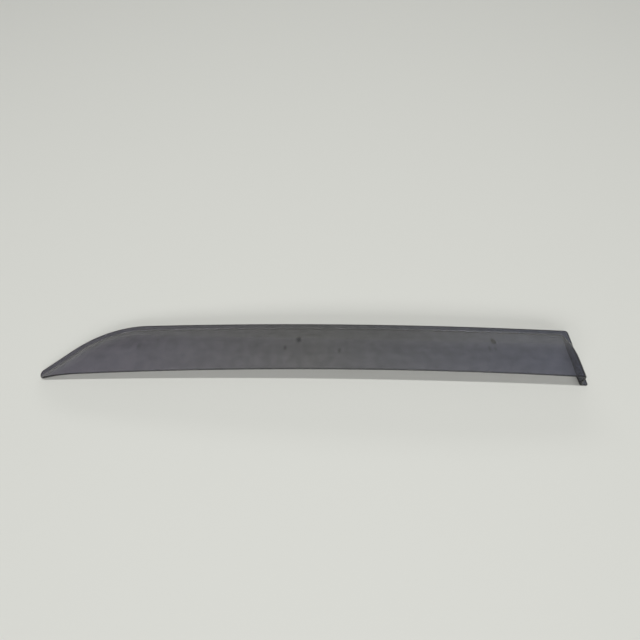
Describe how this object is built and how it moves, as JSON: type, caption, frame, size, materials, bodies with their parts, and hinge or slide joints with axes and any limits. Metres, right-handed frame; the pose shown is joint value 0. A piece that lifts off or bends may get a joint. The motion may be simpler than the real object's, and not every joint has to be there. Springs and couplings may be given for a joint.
{
  "type": "window rain deflector",
  "caption": "Smoked see-through visor for a car's rear side window: a long arched hood with a pointed tail, a closed square end and a flat flange that is stuck to the door frame.",
  "frame": {"origin": "bottom centre of the bounding box, on the plane of the flange's underside", "axes": "+X from the pointed tail to the square end, +Y from the free edge to the edge on the door frame, +Z out from the door"},
  "size_m": [0.7599, 0.0969, 0.0303],
  "materials": {
    "smoked_acrylic": "smooth gloss, smoke tinted and see-through, used"
  },
  "bodies": {
    "root": {"visor": "smoked_acrylic"}
  },
  "joints": []
}
